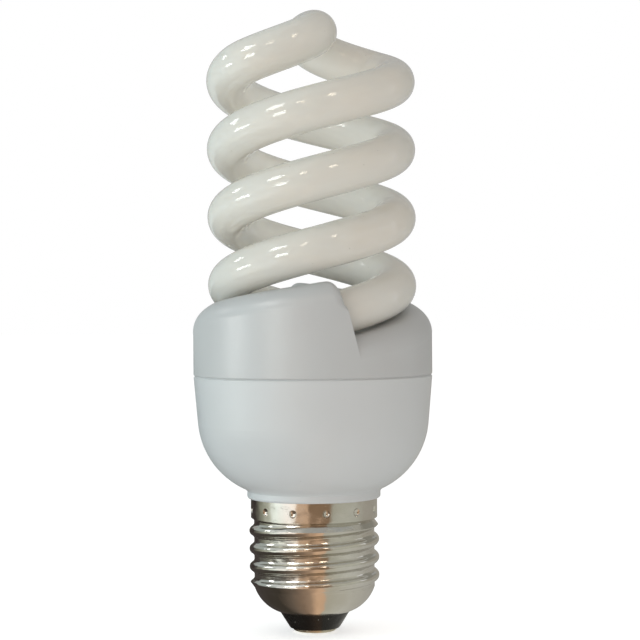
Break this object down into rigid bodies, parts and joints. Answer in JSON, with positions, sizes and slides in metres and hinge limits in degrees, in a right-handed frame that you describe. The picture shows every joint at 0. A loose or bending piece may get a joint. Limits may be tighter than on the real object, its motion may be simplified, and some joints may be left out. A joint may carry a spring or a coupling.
{
  "type": "spiral energy saving bulb",
  "caption": "Spiral fluorescent lamp: a milky double-helix glass tube on a grey moulded ballast housing with a nickel-plated screw cap.",
  "frame": {"origin": "centre of the contact's bottom face, on the lamp's axis", "axes": "+Z along the lamp's axis from the contact to the top of the spiral; -Y towards the side the picture shows"},
  "size_m": [0.0483, 0.0482, 0.1255],
  "materials": {
    "coated_glass": "glossy clear glass over a milky white coating",
    "housing_plastic": "satin moulded thermoplastic",
    "plated_shell": "nickel plated rolled sheet",
    "black_glass": "glossy black vitreous insulator",
    "contact_metal": "dull plated contact plate",
    "solder": "dull tin solder",
    "cement": "matt white filler",
    "capacitor_sleeve": "shrink sleeve",
    "ferrite": "matt sintered ferrite",
    "bobbin_plastic": "matt moulding",
    "copper_wire": "enamelled copper",
    "black_moulding": "matt epoxy moulding",
    "film_dip": "glossy dipped resin",
    "diode_glass": "small glass body",
    "resistor_coat": "lacquer coat",
    "tinned_wire": "tinned wire",
    "board_laminate": "paper laminate"
  },
  "bodies": {
    "root": {"cap_insulator": "black_glass", "cap_shell": "plated_shell", "centre_contact": "contact_metal", "choke_bobbin": "bobbin_plastic", "choke_core": "ferrite", "choke_winding": "copper_wire", "circuit_board": "board_laminate", "contact_solder": "solder", "coupling_capacitor": "film_dip", "diac": "diode_glass", "fusible_resistor": "resistor_coat", "input_choke": "black_moulding", "live_lead": "tinned_wire", "lower_housing": "housing_plastic", "neutral_lead": "tinned_wire", "rectifier_diode_1": "black_moulding", "rectifier_diode_2": "black_moulding", "rectifier_diode_3": "black_moulding", "rectifier_diode_4": "black_moulding", "resistor_1": "resistor_coat", "resistor_2": "resistor_coat", "resistor_3": "resistor_coat", "resistor_4": "resistor_coat", "resonant_capacitor": "film_dip", "smoothing_capacitor": "capacitor_sleeve", "spiral_tube": "coated_glass", "timing_capacitor": "film_dip", "toroid_core": "ferrite", "toroid_winding_1": "copper_wire", "toroid_winding_2": "copper_wire", "toroid_winding_3": "copper_wire", "transistor_1": "black_moulding", "transistor_2": "black_moulding", "tube_cement_a": "cement", "tube_cement_b": "cement", "tube_lead_1": "tinned_wire", "tube_lead_2": "tinned_wire", "tube_lead_3": "tinned_wire", "tube_lead_4": "tinned_wire", "upper_cover": "housing_plastic", "wrap_post_1": "tinned_wire", "wrap_post_2": "tinned_wire", "wrap_post_3": "tinned_wire", "wrap_post_4": "tinned_wire"}
  },
  "joints": []
}
